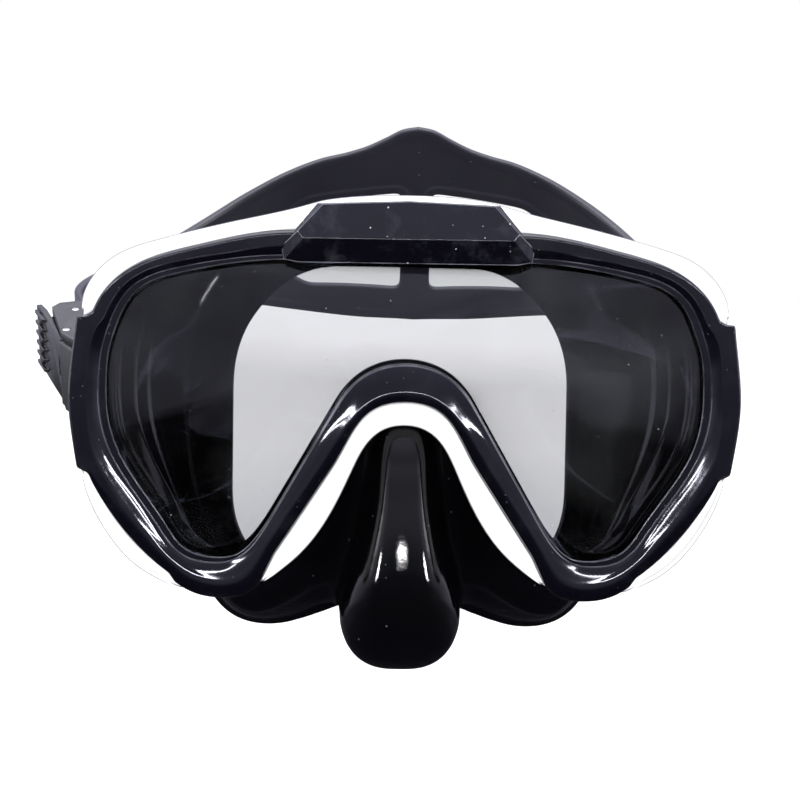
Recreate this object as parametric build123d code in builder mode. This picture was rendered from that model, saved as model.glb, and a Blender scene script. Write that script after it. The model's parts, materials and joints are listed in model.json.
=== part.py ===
from build123d import *
import os
from math import cos, radians, sin

# Diving mask with a single lens, a split head strap and two folding buckles, in millimetres.
# +X is the right of someone looking at the front, +Y runs back to the face, +Z is up.
# The origin is the middle of the line that the strap swings about.

# ---- driving dimensions ---------------------------------------------------------------
pivot_depth = 20.0  # from the bezel's front plane back to the strap's swing line
pivot_drop = 3.0  # from the middle of the glass down to the swing line

glass_half_width = 75.3
glass_top = 34.7
arch_top = 9.2  # top of the nose notch in the glass
lens_thickness = 4.0
lens_front = 3.0  # depth of the lens's front face
lens_seat = 3.0  # how far the lens runs under the bezel's lip

bezel_depth = 9.0
tab_depth = 11.5
tab_half_width = 84.8
frame_front = 4.0  # depth where the rear frame begins
frame_plate_front = 9.2  # depth of the plate that clamps the skirt
frame_depth = 12.4
skirt_depth = 61.0
skirt_wall = 2.0
skirt_neck = 1.4  # how far the neck behind the lens stands outside the glass opening

strap_tilt = 21.0  # the strap rises this much on its way back
strap_thickness = 3.0
tongue_width = 18.0
pad_half_height = 28.0
peak_height = 38.0
slot_half_height = 17.0
strap_middle = 6.0  # the loose strap hangs a little to one side

eye_radius = 7.0
axle_radius = 3.0
running_gap = 0.05
snug_gap = 0.02
bracket_inner = 80.9  # distance of the bracket's inner face from the middle plane
bracket_thickness = 2.5
hinge_out = 83.0  # hinge pin's distance from the middle plane
hinge_back = 14.0  # hinge pin's distance behind the swing line
left_splay = 18.0  # the left buckle stands away from the mask
right_splay = -8.0  # the right one lies towards it

cheek_inner = 9.4  # half of the room between a buckle's two cheeks
cheek_thickness = 1.9
cheek_outer = cheek_inner + cheek_thickness
pin_radius = 1.2
roller_radius = 2.5
roller_back = 23.0  # roller's distance behind the hinge pin
roller_out = -0.3
tongue_thickness = 2.0
tongue_gap = 0.25
tongue_end = 38.0
lever_back = 9.6
lever_out = 4.7
rib_pitch = 1.5

LEFT, RIGHT = -1, 1


# ---- planes ---------------------------------------------------------------------------
def at_depth(depth):
    """Upright plane this far behind the bezel's front, seen from the front, centred on the glass."""
    return Plane(origin=(0, depth - pivot_depth, pivot_drop), x_dir=(1, 0, 0), z_dir=(0, -1, 0))


def at_height(height):
    """Level plane at this height over the middle of the glass, with Y as depth behind the front."""
    return Plane(origin=(0, -pivot_depth, pivot_drop + height), x_dir=(1, 0, 0), z_dir=(0, 0, 1))


def side_plane(distance):
    """Plane facing +X at this distance from the middle, centred on the swing line."""
    return Plane(origin=(distance, 0, 0), x_dir=(0, 1, 0), z_dir=(1, 0, 0))


strap_back = (0, cos(radians(strap_tilt)), sin(radians(strap_tilt)))
strap_up = (0, -sin(radians(strap_tilt)), cos(radians(strap_tilt)))
strap_plan = Plane(origin=(0, 0, 0), x_dir=(1, 0, 0), z_dir=strap_up)


def buckle_plane(side, height=0.0):
    """Plane across a buckle: local X runs back from the hinge pin, local Y lies along the mask's side."""
    splay = radians(left_splay if side == LEFT else right_splay)
    across = (side * sin(splay), cos(splay) * strap_back[1], cos(splay) * strap_back[2])
    origin = (
        side * hinge_out,
        hinge_back * strap_back[1] + height * strap_up[1],
        hinge_back * strap_back[2] + height * strap_up[2],
    )
    return Plane(origin=origin, x_dir=across, z_dir=strap_up)


def out(side, distance):
    """Local Y of a point this far outside the hinge pin, in buckle_plane(side)."""
    return -side * distance


def save(piece, name):
    piece.part.label = name
    export_step(piece.part, f"parts/{name}.step")


# ---- outlines, right half, from the top middle round to the bottom middle -------------
def straight(*points):
    return points, None


def curve(*points, ways):
    """Smooth stretch through the points, leaving the first and reaching the last along the two ways."""
    return points, ways


def glass_edge():
    """The opening that the glass shows through."""
    leg = (-12.5, 21.8)
    return [
        straight((0, glass_top), (30, glass_top)),
        curve((30, glass_top), (56, 31.3), (68, 26.2), (73.4, 16), (glass_half_width, 1.5),
              ways=[(1, 0), (0, -1)]),
        curve((glass_half_width, 1.5), (73.0, -12), (60.3, -32), (46.5, -40.5),
              ways=[(0, -1), (-1, 0)]),
        curve((46.5, -40.5), (38.3, -36.3), (31.5, -25.8), ways=[(-1, 0), leg]),
        straight((31.5, -25.8), (17.2, -0.9)),
        curve((17.2, -0.9), (10, 6.6), (0, arch_top), ways=[leg, (-1, 0)]),
    ]


def bezel_edge():
    """Outer edge of the bezel: brow, side tab, lobe, leg and nose arch."""
    leg = (-14.5, 22.2)
    return [
        straight((0, 42.1), (28, 42.1)),
        curve((28, 42.1), (54.2, 37.7), (66.5, 33.8), (78.9, 21.0), ways=[(1, 0), (0.35, -1)]),
        straight((78.9, 21.0), (80.6, 20.0)),
        straight((80.6, 20.0), (82.8, 20.0)),
        curve((82.8, 20.0), (tab_half_width, 0), (82.6, -18.2), ways=[(0.1, -1), (-0.16, -1)]),
        straight((82.6, -18.2), (79.8, -19.6)),
        curve((79.8, -19.6), (73.1, -31.5), (59.4, -45.0), ways=[(-0.4, -1), (-1, -0.7)]),
        straight((59.4, -45.0), (58.0, -47.3)),
        curve((58.0, -47.3), (46.4, -51.3), (36.2, -47.0), ways=[(-1, -0.8), (-0.6, 1)]),
        straight((36.2, -47.0), (33.0, -40.0)),
        straight((33.0, -40.0), (18.5, -17.8)),
        curve((18.5, -17.8), (9.7, -3.8), (0, -0.7), ways=[leg, (-1, 0)]),
    ]


def frame_edge():
    """Outer edge of the rear frame, which stands out round the bezel."""
    brow_end, corner, lobe = (20, 50.3), (82.2, 24.5), (38.5, -49.0)
    brow_way = (1, -0.16)
    return [
        curve((0, 51.6), brow_end, ways=[(1, 0), brow_way]),
        curve(brow_end, (25.6, 48.8), (42, 44.8), (64, 39.2), (75, 34.6), corner,
              ways=[brow_way, (0.2, -1)]),
        straight(corner, (82.2, -19.0)),
        curve((82.2, -19.0), (76.3, -35.0), (67, -45.0), (47.5, -50.4), lobe,
              ways=[(-0.1, -1), (-1, 0.3)]),
        curve(lobe, (26.5, -40.8), (13.8, -20.1), (0, -7.3), ways=[(-1, 0.5), (-1, 0)]),
    ]


def skirt_back(inset):
    """Skirt section at the face: brow, temple, cheek and upper lip."""
    top, half_width, cheek = 47.0 - inset, 66 - inset, (36, -67.5 + inset)
    lip_way = (-1, 0.3)
    return [
        straight((0, top), (22, top)),
        curve((22, top), (57 - inset, 33 - inset), (half_width, 0), ways=[(1, 0), (0, -1)]),
        curve((half_width, 0), (57 - inset, -45 + inset), cheek, ways=[(0, -1), (-1, 0)]),
        curve(cheek, (27, -66 + inset), ways=[(-1, 0), lip_way]),
        straight((27, -66 + inset), (14, -62.4 + inset)),
        curve((14, -62.4 + inset), (0, -60 + inset), ways=[lip_way, (-1, 0)]),
    ]


def face_opening_edge():
    """Edge of the inner seal, which lies on the face."""
    return [
        straight((0, 33.0), (17, 33.0)),
        curve((17, 33.0), (37, 24), (46.5, 0), ways=[(1, 0), (0, -1)]),
        straight((46.5, 0), (46.5, -30)),
        curve((46.5, -30), (39, -49), (24, -55), ways=[(0, -1), (-1, 0)]),
        straight((24, -55), (0, -55)),
    ]


def stretch_edge(points, ways):
    """One stretch of an outline, not drawn anywhere yet."""
    if ways is None:
        return Edge.make_line(*points)
    return Edge.make_spline(points, tangents=ways)


def left_of(way):
    """Unit vector square to a way, on its left: outwards, for an outline that runs clockwise."""
    return Vector(-way.Y, way.X).normalized()


def corner_shift(before, after):
    """How far a joint between two ways moves for each millimetre that both sides move out."""
    first, second = left_of(before), left_of(after)
    return (first + second) / (1 + first.dot(second))


def grown(outline, distance):
    """The outline moved out by a distance, with its joints kept joined."""
    edges = [stretch_edge(points, ways) for points, ways in outline]
    result = []
    for place, (points, ways) in enumerate(outline):
        edge = edges[place]
        before = edges[place - 1] % 1 if place > 0 else edge % 0
        after = edges[place + 1] % 0 if place + 1 < len(edges) else edge % 1
        shifts = [left_of(edge.tangent_at(Vector(*point))) for point in points]
        shifts[0] = corner_shift(before, edge % 0)
        shifts[-1] = corner_shift(edge % 1, after)
        moved = [
            tuple(Vector(*point) + shift * distance)[:2]
            for point, shift in zip(points, shifts)
        ]
        result.append((moved, ways))
    return result


def skirt_front(inset):
    """Skirt section at the lens, just inside the rear frame's opening."""
    return grown(glass_edge(), skirt_neck - inset)


def draw(outline):
    """Draw an outline's stretches in the open BuildLine."""
    for points, ways in outline:
        if ways is None:
            Line(*points)
        else:
            Spline(*points, tangents=ways)


def closed_face(outline):
    """Face inside an outline that is given as its right half."""
    with BuildSketch(mode=Mode.PRIVATE) as whole:
        with BuildLine():
            draw(outline)
            mirror(about=Plane.YZ)
        make_face()
    return whole.sketch


# ---- lens, bezel and rear frame -------------------------------------------------------
def make_lens():
    """Flat pane of tempered glass, reaching under the bezel's lip all round."""
    with BuildPart() as lens:
        with BuildSketch(at_depth(lens_front + lens_thickness)):
            add(closed_face(grown(glass_edge(), lens_seat)))
        extrude(amount=lens_thickness)
        chamfer(lens.faces().sort_by(Axis.Y)[0].edges(), 0.4)
    save(lens, "lens")


def make_bezel():
    """Front ring with a lip in front of the glass, a raised band and two side tabs."""
    lip_depth = 0.8
    lip_width = 2.0
    tab_wall_inner = 82.4
    with BuildPart() as bezel:
        with BuildSketch(at_depth(bezel_depth)):
            add(closed_face(bezel_edge()))
        extrude(amount=bezel_depth)
        with BuildSketch(at_depth(bezel_depth)):
            add(closed_face(grown(glass_edge(), lens_seat + 0.1)))
        extrude(amount=bezel_depth - lens_front + 0.1, mode=Mode.SUBTRACT)
        with BuildSketch(at_depth(bezel_depth)):
            add(closed_face(glass_edge()))
        extrude(amount=bezel_depth, mode=Mode.SUBTRACT)
        with BuildSketch(at_depth(lip_depth)):
            add(closed_face(grown(glass_edge(), lip_width)))
        extrude(amount=lip_depth, mode=Mode.SUBTRACT)
        for side in (LEFT, RIGHT):
            with BuildSketch(at_depth(tab_depth)):
                add(closed_face(bezel_edge()))
                with Locations((side * (tab_wall_inner + 5), 0)):
                    Rectangle(10, 36, mode=Mode.INTERSECT)
            extrude(amount=tab_depth - bezel_depth)
    save(bezel, "bezel")


def make_rear_frame():
    """White ring round and behind the bezel; its plate clamps the skirt and its lugs carry the strap."""
    opening = skirt_neck + 0.3
    bezel_clearance = 0.15
    lug_inner, lug_thickness = 77.6, 3.0
    with BuildPart() as rear_frame:
        with BuildSketch(at_depth(frame_depth)):
            add(closed_face(frame_edge()))
        extrude(amount=frame_depth - frame_front)
        with BuildSketch(at_depth(frame_plate_front)):
            add(closed_face(grown(bezel_edge(), bezel_clearance)))
        extrude(amount=frame_plate_front, mode=Mode.SUBTRACT)
        with BuildSketch(at_depth(frame_depth)):
            add(closed_face(grown(glass_edge(), opening)))
        extrude(amount=frame_depth, mode=Mode.SUBTRACT)
        for side in (LEFT, RIGHT):
            with BuildSketch(side_plane(side * lug_inner)):
                Circle(eye_radius)
                with Locations(((frame_depth - pivot_depth) / 2, 0)):
                    Rectangle(pivot_depth - frame_depth, 2 * eye_radius)
                Circle(axle_radius + running_gap, mode=Mode.SUBTRACT)
            extrude(amount=side * lug_thickness)
    save(rear_frame, "rear_frame")


def make_bridge_clip():
    """Faceted cap over the middle of the brow, hooked over the bezel's top edge."""
    ridge_height, ridge_depth = 40.4, -2.2
    top_height, top_depth = 49.7, -0.4
    foot_height, foot_depth = 34.9, -0.6
    back_depth = frame_front - 0.1
    face_gap = -0.05
    half_length = 40
    corner = (-half_length, -pivot_depth, pivot_drop)
    profile_plane = Plane(origin=corner, x_dir=(0, 1, 0), z_dir=(1, 0, 0))
    with BuildPart() as bridge_clip:
        with BuildSketch(profile_plane):
            with BuildLine():
                Polyline(
                    (ridge_depth, ridge_height),
                    (top_depth, top_height),
                    (back_depth, top_height),
                    (back_depth, 42.3),
                    (face_gap, 42.3),
                    (face_gap, foot_height),
                    (foot_depth, foot_height),
                    close=True,
                )
            make_face()
        extrude(amount=2 * half_length)
        with BuildSketch(at_depth(2 * back_depth)):
            add(closed_face([
                straight((0, top_height), (21.5, 48.8)),
                straight((21.5, 48.8), (27.2, ridge_height)),
                straight((27.2, ridge_height), (31.7, 36.2)),
                straight((31.7, 36.2), (31.0, foot_height)),
                straight((31.0, foot_height), (0, foot_height)),
            ]))
        extrude(amount=4 * back_depth, mode=Mode.INTERSECT)
    save(bridge_clip, "bridge_clip")


# ---- skirt ----------------------------------------------------------------------------
def make_skirt():
    """Hollow silicone body: flange, wall, nose pocket and an inner seal with the face opening."""
    flange_back = frame_plate_front - 0.05
    flange_front = lens_front + lens_thickness + 0.05
    neck_back = frame_depth + 0.2
    nose_levels = ((-4, 7.5, 13.0, 29.0), (-28, 10.5, 19.5, 29.0), (-48, 14.0, 22.5, 31.0),
                   (-62, 15.8, 21.0, 34.0), (-71, 12.0, 15.0, 36.0), (-75, 6.0, 9.0, 37.0))
    with BuildPart() as skirt:
        with BuildSketch(at_depth(flange_back)):
            add(closed_face(grown(glass_edge(), lens_seat)))
        extrude(amount=flange_back - flange_front)
        for depth in (flange_front + 0.5, neck_back):
            with BuildSketch(at_depth(depth)):
                add(closed_face(skirt_front(0)))
        with BuildSketch(at_depth(skirt_depth)):
            add(closed_face(skirt_back(0)))
        loft(ruled=True)
        for level, half_width, half_depth, middle in nose_levels:
            with BuildSketch(at_height(level)):
                with Locations((0, middle)):
                    Ellipse(half_width, half_depth)
        loft()
        for depth in (flange_front - 1, neck_back):
            with BuildSketch(at_depth(depth)):
                add(closed_face(skirt_front(skirt_wall)))
        with BuildSketch(at_depth(skirt_depth - skirt_wall)):
            add(closed_face(skirt_back(skirt_wall)))
        loft(ruled=True, mode=Mode.SUBTRACT)
        for level, half_width, half_depth, middle in nose_levels[:-1]:
            with BuildSketch(at_height(level)):
                with Locations((0, middle)):
                    Ellipse(half_width - skirt_wall, half_depth - skirt_wall)
        loft(mode=Mode.SUBTRACT)
        with BuildSketch(at_depth(skirt_depth + 1)):
            add(closed_face(face_opening_edge()))
        extrude(amount=2 * skirt_wall, mode=Mode.SUBTRACT)
    save(skirt, "skirt")


# ---- head strap -----------------------------------------------------------------------
def strap_start(side):
    """Plan position and direction where the head strap takes over from a buckle's tongue."""
    seam = 0.8
    splay = radians(left_splay if side == LEFT else right_splay)
    back = tongue_end + seam
    outward = roller_out - roller_radius - tongue_gap - tongue_thickness / 2
    x = hinge_out + back * sin(splay) + outward * cos(splay)
    y = hinge_back + back * cos(splay) - outward * sin(splay)
    return (side * x, y), (side * sin(splay), cos(splay))


def make_head_strap():
    """One silicone band in a loop: two narrow arms and a pad with a peak and two slots."""
    left_point, left_way = strap_start(LEFT)
    right_point, right_way = strap_start(RIGHT)
    arm_half_height = tongue_width / 2
    loop = [curve(left_point, (-84, 86), (-58, 114), (strap_middle, 126.5), (58, 109), (72, 82), right_point,
                  ways=[left_way, (-right_way[0], -right_way[1])])]
    outer = grown(loop, strap_thickness / 2)
    inner = grown(loop, -strap_thickness / 2)
    front = Plane(origin=(0, 0, 0), x_dir=(1, 0, 0), z_dir=(0, -strap_back[1], -strap_back[2]))
    with BuildPart() as head_strap:
        with BuildSketch(strap_plan.offset(-pad_half_height - 2)):
            with BuildLine():
                draw(outer)
                draw(inner)
                Line(outer[0][0][0], inner[0][0][0])
                Line(outer[0][0][-1], inner[0][0][-1])
            make_face()
        extrude(amount=pad_half_height + peak_height + 4)
        with BuildSketch(front):
            with Locations((strap_middle, 0)):
                add(closed_face([
                    straight((0, peak_height), (4, peak_height)),
                    curve((4, peak_height), (17, 29.6), (33, 26.5), (60, 14.5), (86, arm_half_height),
                          ways=[(1, 0), (1, 0)]),
                    straight((86, arm_half_height), (120, arm_half_height)),
                    straight((120, arm_half_height), (120, -arm_half_height)),
                    straight((120, -arm_half_height), (86, -arm_half_height)),
                    curve((86, -arm_half_height), (58, -17), (0, -pad_half_height), ways=[(-1, 0), (-1, 0)]),
                ]))
        extrude(amount=-140, mode=Mode.INTERSECT)
        with BuildSketch(front.offset(-90)):
            with Locations((strap_middle, 0)):
                for side in (LEFT, RIGHT):
                    with BuildLine():
                        Polyline((side * 4.7, slot_half_height), (side * 34, 14.5), (side * 53, 1),
                                 (side * 34, -14.5), (side * 4.7, -slot_half_height), close=True)
                    make_face()
        extrude(amount=-50, mode=Mode.SUBTRACT)
    save(head_strap, "head_strap")


# ---- one side's swivel and buckle -----------------------------------------------------
def make_swivel_axle(side, name):
    """Snap axle through the rear frame's lug, with a wide head outside the bracket."""
    with BuildPart() as axle:
        with BuildSketch(side_plane(side * 76.4)):
            Circle(axle_radius)
        extrude(amount=side * (bracket_inner + bracket_thickness + 0.15 - 76.4))
        with BuildSketch(side_plane(side * 76.3)):
            Circle(axle_radius + 1.2)
        extrude(amount=side * 1.2)
        with BuildSketch(side_plane(side * (bracket_inner + bracket_thickness + 0.1))):
            Circle(axle_radius + 1.6)
        extrude(amount=side * 1.2)
        fillet(axle.edges().filter_by(GeomType.CIRCLE).sort_by(Axis.X)[-1 if side == RIGHT else 0], 0.5)
    save(axle, name)


def make_bracket(side, name):
    """Swivel bracket: an eye on the axle, a short arm and the knuckle that holds the hinge pin."""
    knuckle_half_height = 5.8
    knuckle_radius = 2.6
    tilted = Plane(origin=(side * bracket_inner, 0, 0), x_dir=strap_back, z_dir=(1, 0, 0))
    with BuildPart() as bracket:
        with BuildSketch(tilted):
            Circle(eye_radius)
            with BuildLine():
                Polyline((0, eye_radius), (hinge_back, knuckle_half_height),
                         (hinge_back, -knuckle_half_height), (0, -eye_radius), close=True)
            make_face()
        extrude(amount=side * bracket_thickness)
        with BuildSketch(buckle_plane(side, -knuckle_half_height)):
            Circle(knuckle_radius)
        extrude(amount=2 * knuckle_half_height)
        with BuildSketch(buckle_plane(side, -cheek_outer)):
            Circle(pin_radius + snug_gap)
        extrude(amount=2 * cheek_outer, mode=Mode.SUBTRACT)
        with BuildSketch(tilted):
            Circle(axle_radius + running_gap)
        extrude(amount=side * bracket_thickness, mode=Mode.SUBTRACT)
    save(bracket, name)


def make_pin(side, name, back, outward, radius, half_length):
    """Plain round pin standing across a buckle."""
    with BuildPart() as pin:
        with BuildSketch(buckle_plane(side, -half_length)):
            with Locations((back, out(side, outward))):
                Circle(radius)
        extrude(amount=2 * half_length)
        chamfer(pin.edges().filter_by(GeomType.CIRCLE), 0.25)
    save(pin, name)


def make_buckle_frame(side, name):
    """Two cheeks joined by a cross wall, with lugs that reach in to the bracket's knuckle."""
    with BuildPart() as frame:
        for start in (-cheek_outer, cheek_inner):
            with BuildSketch(buckle_plane(side, start)):
                Circle(3.2)
                with BuildLine():
                    Polyline((-1.2, out(side, 3.0)), (7, out(side, 6.3)), (26, out(side, 5.6)),
                             (28.5, out(side, 3.0)), (28.5, out(side, -3.6)), (26, out(side, -6.2)),
                             (8, out(side, -5.6)), (-1.2, out(side, -3.0)), close=True)
                make_face()
            extrude(amount=cheek_thickness)
        for start in (-cheek_inner, 6.2):
            with BuildSketch(buckle_plane(side, start)):
                Circle(3.0)
                with Locations((3.0, 0)):
                    Rectangle(4.0, 6.0)
            extrude(amount=cheek_inner - 6.2)
        with BuildSketch(buckle_plane(side, -cheek_inner)):
            with Locations((4.8, out(side, -0.4))):
                Rectangle(1.8, 7.4)
        extrude(amount=2 * cheek_inner)
        with BuildSketch(buckle_plane(side, -cheek_outer)):
            Circle(pin_radius + running_gap)
            with Locations((roller_back, out(side, roller_out)), (lever_back, out(side, lever_out))):
                Circle(pin_radius + snug_gap)
        extrude(amount=2 * cheek_outer, mode=Mode.SUBTRACT)
    save(frame, name)


def make_buckle_cover(side, name):
    """Glossy cap between the cheeks, over the hinge."""
    with BuildPart() as cover:
        with BuildSketch(buckle_plane(side, -cheek_inner + 0.1)):
            with BuildLine():
                Polyline((-2.2, out(side, 3.6)), (0.5, out(side, 5.6)), (6.6, out(side, 7.4)),
                         (6.6, out(side, 3.5)), (0.5, out(side, 3.5)), close=True)
            make_face()
        extrude(amount=2 * cheek_inner - 0.2)
    save(cover, name)


def make_roller(side, name):
    """Smooth roller that the strap turns round."""
    with BuildPart() as roller:
        with BuildSketch(buckle_plane(side, -cheek_inner + 0.2)):
            with Locations((roller_back, out(side, roller_out))):
                Circle(roller_radius)
                Circle(pin_radius + running_gap, mode=Mode.SUBTRACT)
        extrude(amount=2 * cheek_inner - 0.4)
    save(roller, name)


def make_lever(side, name):
    """Sprung release lever: its teeth hold the strap's ribs and its ribbed pad takes the thumb."""
    knuckle = 2.0
    room = 2.6  # half of the gap in the knuckle where the spring sits
    half_width = cheek_inner - 0.3
    with BuildPart() as lever:
        with BuildSketch(buckle_plane(side, -half_width)):
            with Locations((lever_back, out(side, lever_out))):
                Circle(knuckle)
            with BuildLine():
                Polyline((lever_back, out(side, lever_out + knuckle)), (22, out(side, 7.6)),
                         (30, out(side, 8.0)), (34, out(side, 8.6)), (34, out(side, 7.2)),
                         (30, out(side, 6.4)), (lever_back, out(side, lever_out + 0.6)), close=True)
            make_face()
            for tooth in range(3):
                start = 21.0 + tooth * rib_pitch
                with BuildLine():
                    Polyline((start - 0.6, out(side, 6.4)), (start, out(side, 5.15)),
                             (start + 0.6, out(side, 6.4)), close=True)
                make_face()
        extrude(amount=2 * half_width)
        with BuildSketch(buckle_plane(side, -half_width)):
            with Locations((lever_back, out(side, lever_out))):
                Circle(pin_radius + running_gap)
        extrude(amount=2 * half_width, mode=Mode.SUBTRACT)
        with BuildSketch(buckle_plane(side, -room)):
            with Locations((lever_back - 0.4, out(side, lever_out - 0.8))):
                Rectangle(5.8, 5.8)
        extrude(amount=2 * room, mode=Mode.SUBTRACT)
        rib_count = 6
        for rib in range(rib_count):
            height = (rib - (rib_count - 1) / 2) * 2 * rib_pitch - 0.5
            with BuildSketch(buckle_plane(side, height)):
                with BuildLine():
                    Polyline((25, out(side, 7.6)), (26, out(side, 8.7)), (33.4, out(side, 9.3)),
                             (33.4, out(side, 8.4)), close=True)
                make_face()
            extrude(amount=1.0)
    save(lever, name)


def make_spring(side, name):
    """Torsion spring round the lever's pin, with a leg on the cross wall."""
    coil_radius = 1.55
    wire_radius = 0.25
    turns = 5
    pitch = 0.8
    height = turns * pitch
    base = buckle_plane(side, -height / 2)
    origin = base.from_local_coords((lever_back, out(side, lever_out), 0))
    with BuildPart() as spring:
        with BuildLine():
            coil = Helix(pitch, height, coil_radius, center=origin, direction=strap_up)
        with BuildSketch(Plane(origin=coil @ 0, z_dir=coil % 0)):
            Circle(wire_radius)
        sweep(is_frenet=True)
    save(spring, name)


def make_tongue(side, name):
    """Strap's end: in on the inner side, round the roller, and back with its ratchet ribs outside."""
    inner_radius = roller_radius + tongue_gap
    outer_radius = inner_radius + tongue_thickness
    tail_end = 36.0
    with BuildPart() as tongue:
        with BuildSketch(buckle_plane(side, -tongue_width / 2)):
            with Locations((roller_back, out(side, roller_out))):
                Circle(outer_radius)
                Circle(inner_radius, mode=Mode.SUBTRACT)
            with Locations((roller_back + 10, out(side, roller_out))):
                Rectangle(20, 2 * outer_radius + 1, mode=Mode.SUBTRACT)
            with BuildLine():
                Polyline((roller_back, out(side, roller_out - inner_radius)),
                         (tongue_end, out(side, roller_out - inner_radius)),
                         (tongue_end, out(side, roller_out - outer_radius)),
                         (roller_back, out(side, roller_out - outer_radius)), close=True)
            make_face()
            with BuildLine():
                Polyline((roller_back, out(side, roller_out + inner_radius)),
                         (tail_end, out(side, roller_out + inner_radius)),
                         (tail_end, out(side, roller_out + outer_radius)),
                         (roller_back, out(side, roller_out + outer_radius)), close=True)
            make_face()
            for rib in range(8):
                start = roller_back + 0.9 + rib * rib_pitch
                with BuildLine():
                    Polyline((start - 0.5, out(side, roller_out + outer_radius - 0.2)),
                             (start, out(side, roller_out + outer_radius + 0.5)),
                             (start + 0.5, out(side, roller_out + outer_radius - 0.2)), close=True)
                make_face()
        extrude(amount=tongue_width)
    save(tongue, name)


def make_side(side, word):
    """All the pieces of one side, from the frame's lug out to the strap."""
    make_swivel_axle(side, f"{word}_swivel_axle")
    make_bracket(side, f"{word}_swivel_bracket")
    make_pin(side, f"{word}_hinge_pin", 0, 0, pin_radius, cheek_outer)
    make_buckle_frame(side, f"{word}_buckle_frame")
    make_buckle_cover(side, f"{word}_buckle_cover")
    make_roller(side, f"{word}_roller")
    make_pin(side, f"{word}_roller_pin", roller_back, roller_out, pin_radius, cheek_outer)
    make_lever(side, f"{word}_release_lever")
    make_pin(side, f"{word}_lever_pin", lever_back, lever_out, pin_radius, cheek_outer)
    make_spring(side, f"{word}_lever_spring")
    make_tongue(side, f"{word}_strap_tongue")


os.makedirs("parts", exist_ok=True)
make_lens()
make_bezel()
make_rear_frame()
make_bridge_clip()
make_skirt()
make_head_strap()
make_side(LEFT, "left")
make_side(RIGHT, "right")
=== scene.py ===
import json
from math import cos, pi, radians, sin

import bmesh
import bpy
import numpy as np
from mathutils import Matrix, Vector

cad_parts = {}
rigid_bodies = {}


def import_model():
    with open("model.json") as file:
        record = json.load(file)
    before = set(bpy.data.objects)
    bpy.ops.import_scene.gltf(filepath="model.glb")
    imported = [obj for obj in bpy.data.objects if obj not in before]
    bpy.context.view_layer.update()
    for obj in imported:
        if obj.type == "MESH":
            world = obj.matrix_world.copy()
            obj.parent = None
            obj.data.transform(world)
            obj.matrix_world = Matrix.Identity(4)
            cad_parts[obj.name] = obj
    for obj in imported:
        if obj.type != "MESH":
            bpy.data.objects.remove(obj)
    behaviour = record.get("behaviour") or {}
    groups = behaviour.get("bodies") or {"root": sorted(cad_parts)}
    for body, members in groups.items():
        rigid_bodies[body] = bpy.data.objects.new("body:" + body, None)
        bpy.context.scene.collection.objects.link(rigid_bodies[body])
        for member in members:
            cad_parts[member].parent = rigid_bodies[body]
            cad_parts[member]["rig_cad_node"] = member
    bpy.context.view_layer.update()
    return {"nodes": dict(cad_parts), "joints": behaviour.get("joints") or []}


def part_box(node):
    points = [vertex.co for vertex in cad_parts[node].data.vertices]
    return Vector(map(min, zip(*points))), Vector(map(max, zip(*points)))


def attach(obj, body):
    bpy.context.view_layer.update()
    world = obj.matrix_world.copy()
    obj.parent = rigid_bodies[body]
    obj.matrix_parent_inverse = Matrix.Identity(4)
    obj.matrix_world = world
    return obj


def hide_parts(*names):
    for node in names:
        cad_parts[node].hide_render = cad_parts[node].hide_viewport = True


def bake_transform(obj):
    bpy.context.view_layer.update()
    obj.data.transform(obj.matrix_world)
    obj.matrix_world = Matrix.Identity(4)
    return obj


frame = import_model()

# Looks of the diving mask. Lengths here are millimetres unless they go to Blender, which takes metres.
# Most pieces are worked out in the mask's own frame: x to the viewer's right, depth back from the
# bezel's front plane, and height over the middle of the glass.
MM = 0.001
LEFT, RIGHT = -1, 1
WORDS = {LEFT: "left", RIGHT: "right"}

brow_height = 42.1  # bezel's top edge over the middle of the glass
front_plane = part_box("bezel")[0].y / MM
glass_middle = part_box("bezel")[1].z / MM - brow_height
frame_back_depth = 12.4
bezel_back = 9.0
lens_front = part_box("lens")[0].y / MM - front_plane
skirt_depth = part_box("skirt")[1].y / MM - front_plane
skirt_wall = 2.0

joints = {joint["name"]: joint for joint in frame["joints"]}


def joint_place(name):
    """Where a joint sits in the shared frame."""
    return np.array(joints[name]["pos_m"]) / MM


def world(points):
    """Places given as x, depth and height, in metres in the shared frame."""
    points = np.asarray(points, float)
    return (points + np.array([0, front_plane, glass_middle])) * MM


# ---- outlines taken from the CAD frame ---------------------------------------------------
def flat_loops(node, depth):
    """Boundary loops of a CAD node's flat faces at one depth, longest first, as (x, height) points."""
    mesh = frame["nodes"][node].data
    points = np.array([v.co for v in mesh.vertices]) / MM
    keys = [tuple(key) for key in np.round(points * 1000).astype(int)]
    at_depth = np.abs(points[:, 1] - front_plane - depth) < 0.002
    mesh.calc_loop_triangles()
    count = {}
    for triangle in mesh.loop_triangles:
        corners = list(triangle.vertices)
        if not all(at_depth[c] for c in corners):
            continue
        for start, end in zip(corners, corners[1:] + corners[:1]):
            edge = frozenset((keys[start], keys[end]))
            count[edge] = count.get(edge, 0) + 1
    following = {}
    for edge, uses in count.items():
        if uses == 1 and len(edge) == 2:
            start, end = edge
            following.setdefault(start, []).append(end)
            following.setdefault(end, []).append(start)
    loops = []
    left = set(following)
    while left:
        start = min(left)
        loop = [start]
        left.discard(start)
        while True:
            onward = [key for key in following[loop[-1]] if key in left]
            if not onward:
                break
            loop.append(onward[0])
            left.discard(onward[0])
        loops.append(np.array(loop, float)[:, [0, 2]] / 1000 - [0, glass_middle])
    return sorted(loops, key=lambda loop: -closed_length(loop))


def closed_length(loop):
    """Length all the way round a closed loop."""
    return np.linalg.norm(np.roll(loop, -1, 0) - loop, axis=1).sum()


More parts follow.
